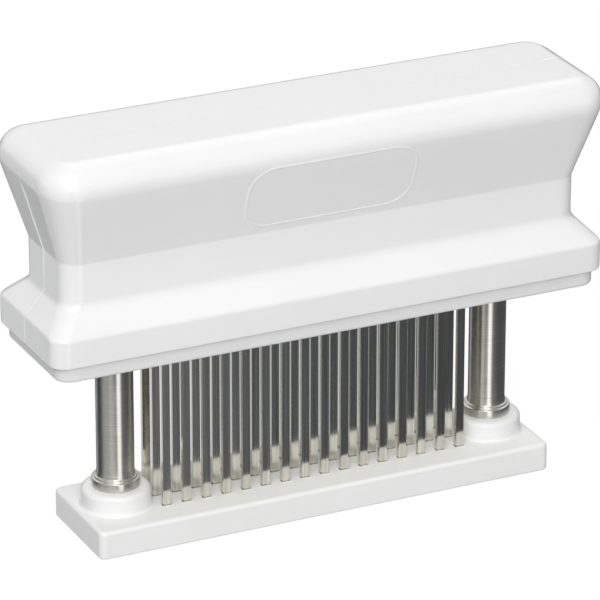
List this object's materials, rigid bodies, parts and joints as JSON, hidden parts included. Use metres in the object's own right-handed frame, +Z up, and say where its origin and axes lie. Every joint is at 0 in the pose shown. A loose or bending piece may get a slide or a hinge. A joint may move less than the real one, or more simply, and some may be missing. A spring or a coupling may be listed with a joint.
{
  "type": "blade meat tenderizer",
  "caption": "Hand-pressed meat tenderizer: a sprung white handle drives rows of thin steel blades through a slotted foot plate, guided by two steel columns.",
  "frame": {"origin": "centre of the foot plate's underside, on the surface that it stands on", "axes": "+X along the handle, +Y to the back, +Z up through the handle"},
  "size_m": [0.147, 0.0396, 0.1028],
  "materials": {
    "handle_plastic": "glossy white moulded plastic",
    "base_plastic": "semi-gloss white moulded plastic",
    "block_plastic": "natural white moulded plastic",
    "bush_plastic": "smooth bearing plastic",
    "blade_steel": "polished stainless steel",
    "column_steel": "turned stainless steel",
    "plate_steel": "rolled stainless steel",
    "inner_steel": "turned stainless steel",
    "screw_steel": "stainless steel fasteners",
    "spring_steel": "drawn spring wire"
  },
  "bodies": {
    "foot": {"foot_plate": "base_plastic", "column_left": "column_steel", "column_right": "column_steel", "column_collar_left": "column_steel", "column_collar_right": "column_steel", "column_plug_left": "inner_steel", "column_plug_right": "inner_steel", "column_washer_left": "screw_steel", "column_washer_right": "screw_steel", "column_screw_left": "screw_steel", "column_screw_right": "screw_steel", "stop_ring_left": "screw_steel", "stop_ring_right": "screw_steel", "return_spring_left": "spring_steel", "return_spring_right": "spring_steel"},
    "head": {"handle_front_shell": "handle_plastic", "handle_back_shell": "handle_plastic", "bottom_cover": "base_plastic", "cover_screws": "screw_steel", "blade_block": "block_plastic", "blade_retainer": "plate_steel", "blade_row_front": "blade_steel", "blade_row_middle": "blade_steel", "blade_row_back": "blade_steel", "column_bush_left": "bush_plastic", "column_bush_right": "bush_plastic", "spring_guide_left": "inner_steel", "spring_guide_right": "inner_steel"}
  },
  "joints": [
    {"name": "press", "type": "slide", "parent": "foot", "child": "head", "axis": [0, 0, -1], "range_m": [0, 0.0323], "stiffness_N_per_m": 2400, "springref_m": -0.013, "deforming": ["return_spring_left", "return_spring_right"]}
  ]
}
